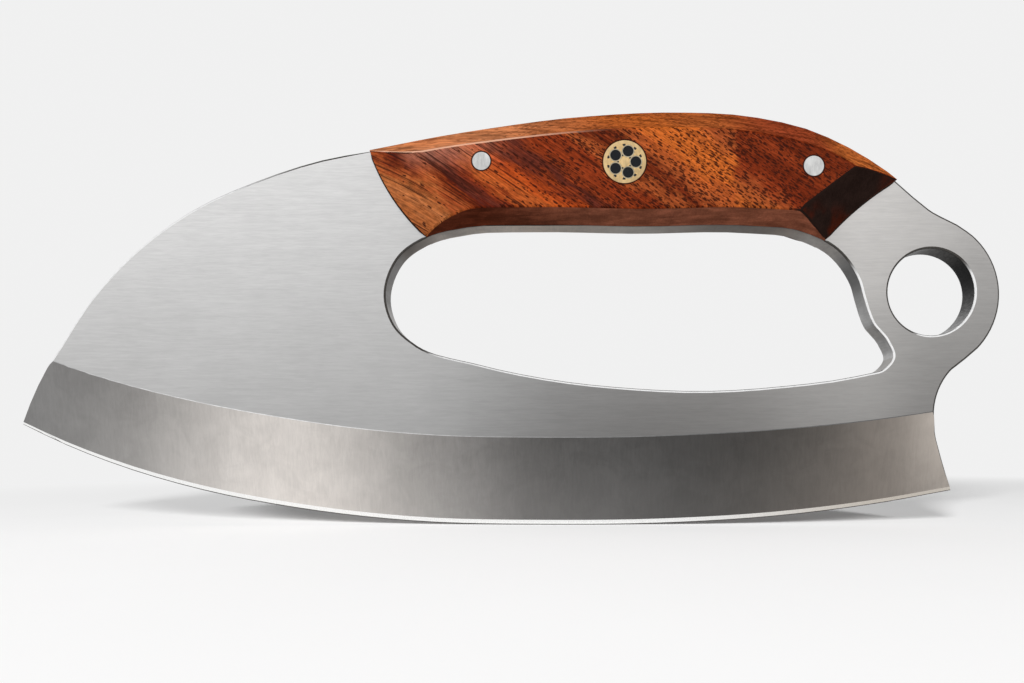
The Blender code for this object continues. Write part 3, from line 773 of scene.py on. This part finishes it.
class ULU_OT_glue(bpy.types.Operator):
    """Finish the dark glue under each scale, squeezed out a little where the scale ends on the plate"""

    bl_idname = "ulu.glue"
    bl_label = "Glue Lines"

    FLAT_LIMIT = 0.9999
    WALL_LIMIT = 0.1
    SHARP_ANGLE = math.radians(30)
    # How far glue stays from a pin's axis, in radii
    PIN_CLEARANCE = 1.5

    def execute(self, context):
        settings = context.scene.ulu_knife
        glue = cast_resin("cured_glue", settings.glue_colour, roughness=0.45)
        blade = welded_faces("blade")
        plate = BVHTree.FromBMesh(blade)
        blade.free()
        for side, out in (("near", -1), ("far", 1)):
            work = welded_faces(side + "_glue_film")
            if side == "far":
                self.set_back(work, settings.far_edge_set_back)
            self.squeeze_out(work, plate, Vector((0, out, 0)), settings.glue_bead)
            bead = finished_piece(side + "_glue_bead", work, [glue], self.SHARP_ANGLE)
            dress(bead, "epoxy", side + "_glue_film")
        return {"FINISHED"}

    def set_back(self, work, reach):
        """Lifts the film's lower wall clear of the tang's rounded corner."""
        work.normal_update()
        for vertex in {vertex for face in work.faces if face.normal.z < UNDER_LIMIT for vertex in face.verts}:
            vertex.co.z += reach

    def squeeze_out(self, work, plate, out, width):
        """Moves the film's outer wall outwards wherever the plate's flat goes on beyond it. The dark bead is
        glue and also stands in for the shade along the scale's foot.
        """
        work.normal_update()
        moves = {}
        for vertex in work.verts:
            walls = [face.normal for face in vertex.link_faces if abs(face.normal.y) < self.WALL_LIMIT]
            spot = vertex.co * Vector((1, 0, 1))
            by_pin = any((spot - seat).length < self.PIN_CLEARANCE * radius for seat, radius in PIN_SEATS)
            if by_pin or not walls:
                continue
            push = sum(walls, Vector()).normalized() * width
            hit, normal, _, _ = plate.ray_cast(vertex.co + push + out * HANDLE_HALF, -out)
            if hit and abs(normal.y) > self.FLAT_LIMIT and normal.dot(out) > 0:
                moves[vertex] = push
        for vertex, push in moves.items():
            vertex.co += push


class ULU_OT_pins(bpy.types.Operator):
    """Finish the two plain pins"""

    bl_idname = "ulu.pins"
    bl_label = "Plain Pins"

    def execute(self, context):
        settings = context.scene.ulu_knife
        nickel = sanded_metal(settings, "sanded_nickel_silver", settings.nickel_colour, roughness=0.315)
        for name in ("front_pin", "rear_pin"):
            coat(name, nickel)
        return {"FINISHED"}


class ULU_OT_mosaic(bpy.types.Operator):
    """Finish the mosaic pin: sleeve, rods, tubes and the resin between them"""

    bl_idname = "ulu.mosaic"
    bl_label = "Mosaic Pin"

    def execute(self, context):
        settings = context.scene.ulu_knife
        finishes = {
            "brass": sanded_metal(settings, "sanded_brass", settings.brass_colour, roughness=0.375),
            "pin_metal": sanded_metal(settings, "sanded_tube", settings.tube_colour, roughness=0.315),
            "black_resin": cast_resin("black_resin", settings.resin_colour, roughness=0.35),
            "filled_resin": filled_resin(settings),
        }
        for part in frame["record"]["subparts"]:
            if part["node"].startswith("mosaic_"):
                coat(part["node"], finishes[part["material_slot"]])
        return {"FINISHED"}


class ULU_OT_stage(bpy.types.Operator):
    """Set up the pale floor, the soft light and the camera"""

    bl_idname = "ulu.stage"
    bl_label = "Stage"

    FLOOR_SIDES = 96
    NEAREST, FARTHEST = 0.01, 50.0

    def execute(self, context):
        settings = context.scene.ulu_knife
        floor = self.make_floor(context, settings)
        self.make_world(context, settings)
        self.make_lamps(context, settings, floor)
        self.make_camera(context, settings)
        context.scene.view_settings.view_transform = "Standard"
        return {"FINISHED"}

    def make_floor(self, context, settings):
        """A pale floor whose far part turns into the backdrop, so that no horizon shows."""
        work = bmesh.new()
        bmesh.ops.create_circle(work, cap_ends=True, segments=self.FLOOR_SIDES, radius=settings.floor_radius)
        mesh = bpy.data.meshes.new("floor")
        work.to_mesh(mesh)
        work.free()
        look = Look("pale_floor")
        centre = Vector(settings.floor_fade_middle) * MM
        away = look.node("VectorMath", {0: look.place, 1: centre}, operation="DISTANCE").outputs["Value"]
        far = look.ease(away, settings.floor_fade_from * MM, settings.floor_fade_to * MM)
        grain = look.noise(look.place, (0.02, 0.02, 0.02), 3.0, 0.5)
        look.set(
            base_color=look.tinted(settings.floor_colour, look.ease(grain, 0.2, 0.8, 0.99, 1.0)),
            roughness=0.95, specular_ior_level=0.0,
        )
        glow = look.node("Emission", {"Color": settings.backdrop_colour, "Strength": 1.0}).outputs[0]
        share = look.times(far, look.looked_at())
        blend = look.node("MixShader", {0: share, 1: look.shader.outputs[0], 2: glow})
        look.feed(look.tree.nodes["Material Output"].inputs["Surface"], blend.outputs[0])
        mesh.materials.append(look.material)
        floor = bpy.data.objects.new("floor", mesh)
        floor.location.z = EDGE_LEVEL
        context.scene.collection.objects.link(floor)
        return floor

    def make_world(self, context, settings):
        """The backdrop as it is seen, and a dimmer sky as the soft light on the knife."""
        world = bpy.data.worlds.new("studio")
        context.scene.world = world
        world.use_nodes = True
        nodes = Nodes(world.node_tree)
        light = nodes.mix(nodes.looked_at(), settings.sky_colour, settings.backdrop_colour)
        nodes.feed(nodes.tree.nodes["Background"].inputs["Color"], light)

    def make_lamps(self, context, settings, floor):
        """A lamp in front and one above for the knife, and two low ones for the floor, whose soft shadows
        fall apart behind the knife. The front lamp is kept out of the steel, which mirrors the room."""
        target = Vector((0, 0, (CAD_BOX[0].z + CAD_BOX[1].z) / 2))
        floor_only = bpy.data.collections.new("floor_only")
        all_but_floor = bpy.data.collections.new("all_but_floor")
        for linked, state in ((floor_only, "INCLUDE"), (all_but_floor, "EXCLUDE")):
            linked.objects.link(floor)
            linked.collection_objects[0].light_linking.link_state = state
        high, low = (settings.front_size, all_but_floor), (settings.low_size, floor_only)
        for name, place, power, (size, lit) in (
            ("front_lamp", settings.front_lamp, settings.front_power, high),
            ("top_lamp", settings.top_lamp, settings.top_power, high),
            ("low_lamp_left", settings.low_left_lamp, settings.low_left_power, low),
            ("low_lamp_right", settings.low_right_lamp, settings.low_right_power, low),
        ):
            data = bpy.data.lights.new(name, "AREA")
            data.shape = "DISK"
            data.size = size
            data.energy = power
            lamp = bpy.data.objects.new(name, data)
            lamp.location = place
            lamp.rotation_euler = (target - lamp.location).to_track_quat("-Z", "Y").to_euler()
            lamp.visible_glossy = name == "top_lamp"
            lamp.light_linking.receiver_collection = lit
            context.scene.collection.objects.link(lamp)

    def make_camera(self, context, settings):
        data = bpy.data.cameras.new("camera")
        data.lens = settings.lens
        data.shift_x = settings.shift_x
        data.shift_y = settings.shift_y
        data.clip_start, data.clip_end = self.NEAREST, self.FARTHEST
        camera = bpy.data.objects.new("camera", data)
        camera.location = settings.camera_place
        camera.rotation_euler = (math.pi / 2, 0, 0)
        context.scene.collection.objects.link(camera)
        context.scene.camera = camera


# Settings


def colour(name, description, default):
    return FloatVectorProperty(
        name=name, description=description, default=default, subtype="COLOR", min=0.0, max=1.0,
    )


def number(name, description, default, **unit):
    return FloatProperty(name=name, description=description, default=default, **unit)


def length(name, description, default):
    return number(name, description, default, subtype="DISTANCE", unit="LENGTH")


def angle(name, description, degrees):
    return number(name, description, math.radians(degrees), subtype="ANGLE", unit="ROTATION")


def power(name, description, default):
    return number(name, description, default, unit="POWER")


def spot(name, description, default):
    return FloatVectorProperty(
        name=name, description=description, default=default, subtype="XYZ", unit="LENGTH",
    )


class KnifeSettings(bpy.types.PropertyGroup):
    """Sizes and colours of the knife's finish"""

    steel_colour: colour("Steel", "Tint of the steel towards the tip", (1.0, 0.995, 0.99))
    warm_steel_colour: colour("Warm Steel", "Tint of the steel towards the ring", (1.0, 0.975, 0.95))
    # A warm tint along the bevel, which also carries the painted reflection of the wood above the hand
    # opening
    warm_tint_colour: colour("Hot Steel", "Tint of the bevel at its warmest", (1.0, 0.82, 0.66))
    steel_gain: number("Steel Gain", "How light the flats and bevels are", 1.10)
    # Painted reflection: how the flats lighten upwards and beside the ring
    flat_reflection_rise: number("Flat Rise", "How fast the flats lighten upwards, per millimetre", 0.0046)
    ring_reflection_rise: number("Ring Rise", "How much lighter the flats are beside the ring", 0.06)
    flat_roughness: number("Flat Roughness", "Roughness of the brushed flats", 0.40)
    bevel_roughness: number("Bevel Roughness", "Roughness of the ground bevels", 0.38)
    brush_depth: length("Brush Depth", "Depth of the brushing strokes", 0.000005)
    grind_line_width: length("Grind Line Width", "Width of the line where the bevel starts", 0.00022)
    edge_colour: colour("Edge", "Honed edge", (0.98, 0.98, 0.97))
    edge_heel_colour: colour("Edge at the Heel", "Honed edge near the heel", (0.62, 0.57, 0.51))
    # Painted shade along the very edge
    edge_shade_line: length("Edge Line", "Half thickness of the dark line at the very edge", 0.00011)
    corner_round: length("Corner Rounding", "How far the corners are rounded into the flats", 0.00021)
    heel_round: length("Heel Rounding", "How far the heel is rounded into the bevels", 0.00028)
    # Painted highlight and shade on the rounded corners; the shade also darkens the very edge and the heel
    corner_highlight: colour("Bright Corners", "Rounded corners that catch the light", (0.98, 0.98, 0.98))
    corner_shade: colour("Dark Corners", "Rounded corners turned away from the light", (0.07, 0.065, 0.06))
    # Painted shade on the front end of the hand opening
    front_wall_shade: colour("Front Wall", "Front end of the hand opening", (0.14, 0.135, 0.13))
    outer_wall_colour: colour("Outer Walls", "Edge faces of the outline", (0.34, 0.33, 0.32))

    grain_slant: angle("Grain Slant", "How far the grain runs down towards the ring", 34)
    top_slant: angle("Top Slant", "How far the top's streaks run down towards the ring", 9)
    band_drift: length("Band Drift", "How far the bands wander", 0.0022)
    band_ripple: length("Band Ripple", "How far the bands' edges ripple", 0.0016)
    seam_at: length("Seam", "Where along the handle its rear turns darker", 0.058)
    pore_colour: colour("Pores", "Dark open pores", (0.030, 0.006, 0.003))
    pore_size: number("Pore Size", "Higher makes longer and wider pores", 0.355)
    pore_share: number("Pore Share", "In how many places there is a pore", 0.67)
    sheen_colour: colour("Sheen", "Soft light on the face behind the front ridge", (0.50, 0.22, 0.15))
    pore_depth: length("Pore Depth", "Depth of the open pores", 0.00003)
    wood_shine: number("Wood Shine", "How much the oiled wood reflects", 0.05)
    top_front_colour: colour("Top, Front", "Upper face near the tip", (0.55, 0.200, 0.080))
    top_middle_colour: colour("Top, Middle", "Upper face in the middle", (0.38, 0.098, 0.024))
    top_red_colour: colour("Top, Over Rear Pin", "Upper face over the rear pin", (0.31, 0.062, 0.020))
    top_rear_colour: colour("Top, Rear", "Upper face near the ring", (0.52, 0.140, 0.032))
    # Painted shade on the undersides of the scales
    under_front_shade: colour("Underside, Front", "Underside near the tip", (0.072, 0.017, 0.008))
    under_shade: colour("Underside", "Underside in the middle and rear", (0.190, 0.063, 0.035))
    # Painted shade on the rear ground face, which looks away from the light
    end_shade: colour("Rear Face", "Oil-soaked end grain of the rear face", (0.018, 0.010, 0.008))
    end_shade_red: colour("Rear Face, Red", "Lighter parts of the rear face", (0.050, 0.009, 0.004))
    # Painted highlight on the ridge at the front of the top
    ridge_highlight_colour: colour("Worn Ridge", "Ridge rubbed light at the front of the top", (0.72, 0.40, 0.27))
    ridge_round: length("Ridge Rounding", "Width of the rounding on the ridges", 0.00035)
    far_edge_lift: length("Far Edge Lift", "How far the far underside is tilted up at the face", 0.0008)
    far_edge_set_back: length("Far Edge Set Back", "How far the far underside is up from the tang's", 0.0003)
    # Painted highlight on the front ridge
    ridge_highlight_share: number("Ridge Wear", "How much the front ridge is rubbed light", 0.85)
    pin_ring: length("Pin Ring", "Width of the dark ring of glue round each pin", 0.00045)

    glue_colour: colour("Glue", "Cured glue", (0.020, 0.013, 0.010))
    # The squeezed-out glue also stands in for the shade along the scale's foot
    glue_bead: length("Glue Bead", "How far the glue is squeezed out at the scale's ends", 0.00035)
    nickel_colour: colour("Nickel Silver", "Plain pins", (0.70, 0.70, 0.69))
    tube_colour: colour("Tubes", "Thin tubes of the mosaic pin", (0.52, 0.45, 0.32))
    brass_colour: colour("Brass", "Sleeve and rods of the mosaic pin", (0.74, 0.53, 0.27))
    filler_colour: colour("Filler", "Brass-filled resin of the mosaic pin", (0.66, 0.45, 0.20))
    resin_colour: colour("Resin", "Black resin in the mosaic pin's tubes", (0.010, 0.011, 0.013))
    tubes: number("Tubes", "How many tubes the mosaic pin has", 5)

    floor_colour: colour("Floor", "Pale floor", (0.92, 0.92, 0.92))
    backdrop_colour: colour("Backdrop", "Pale backdrop", (0.875, 0.875, 0.875))
    sky_colour: colour("Sky", "Soft light from all round", (0.23, 0.23, 0.23))
    floor_radius: length("Floor Radius", "Radius of the floor", 6.0)
    floor_fade_middle: spot("Floor Fade Middle", "Middle of the floor that stays plain", (0.12, 0.0, 0.0))
    floor_fade_from: length("Floor Fade From", "Where the floor starts to fade", 0.22)
    floor_fade_to: length("Floor Fade To", "Where the floor has faded into the backdrop", 0.50)
    front_lamp: spot("Front Lamp", "Where the front lamp stands", (-0.25, -0.85, 0.70))
    front_size: length("Front Lamp Size", "Diameter of the front and the top lamp", 0.60)
    front_power: power("Front Lamp Power", "Front lamp", 8.2)
    top_lamp: spot("Top Lamp", "Where the top lamp hangs", (0.10, 0.15, 1.30))
    top_power: power("Top Lamp Power", "Top lamp", 1.6)
    low_left_lamp: spot("Left Low Lamp", "Where the left low lamp stands", (-1.15, -2.25, 0.85))
    low_right_lamp: spot("Right Low Lamp", "Where the right low lamp stands", (0.60, -2.40, 0.85))
    low_size: length("Low Lamp Size", "Diameter of the low lamps", 0.50)
    low_left_power: power("Left Low Power", "Low lamp on the left", 90.0)
    low_right_power: power("Right Low Power", "Low lamp on the right", 65.0)
    lens: number("Lens", "Focal length", 24.15, unit="CAMERA")
    shift_x: number("Shift X", "Sideways shift of the lens", -0.0449)
    shift_y: number("Shift Y", "Upward shift of the lens", 0.1099)
    camera_place: spot("Camera Place", "Where the camera stands", (0.0135, -0.183, 0.0188))


OPERATORS = (ULU_OT_blade, ULU_OT_scales, ULU_OT_glue, ULU_OT_pins, ULU_OT_mosaic, ULU_OT_stage)


class ULU_PT_panel(bpy.types.Panel):
    """Lists the steps of the knife's finish and its settings"""

    bl_label = "Ulu Knife"
    bl_idname = "ULU_PT_panel"
    bl_space_type = "VIEW_3D"
    bl_region_type = "UI"
    bl_category = "Ulu Knife"

    def draw(self, context):
        for operator in OPERATORS:
            self.layout.operator(operator.bl_idname)
        for name in KnifeSettings.__annotations__:
            self.layout.prop(context.scene.ulu_knife, name)


CLASSES = (KnifeSettings, *OPERATORS, ULU_PT_panel)


def register():
    for item in CLASSES:
        bpy.utils.register_class(item)
    bpy.types.Scene.ulu_knife = PointerProperty(type=KnifeSettings)


def unregister():
    del bpy.types.Scene.ulu_knife
    for item in reversed(CLASSES):
        bpy.utils.unregister_class(item)


def main():
    register()
    bpy.ops.ulu.blade()
    bpy.ops.ulu.scales()
    bpy.ops.ulu.glue()
    bpy.ops.ulu.pins()
    bpy.ops.ulu.mosaic()
    bpy.ops.ulu.stage()


if __name__ == "__main__":
    main()
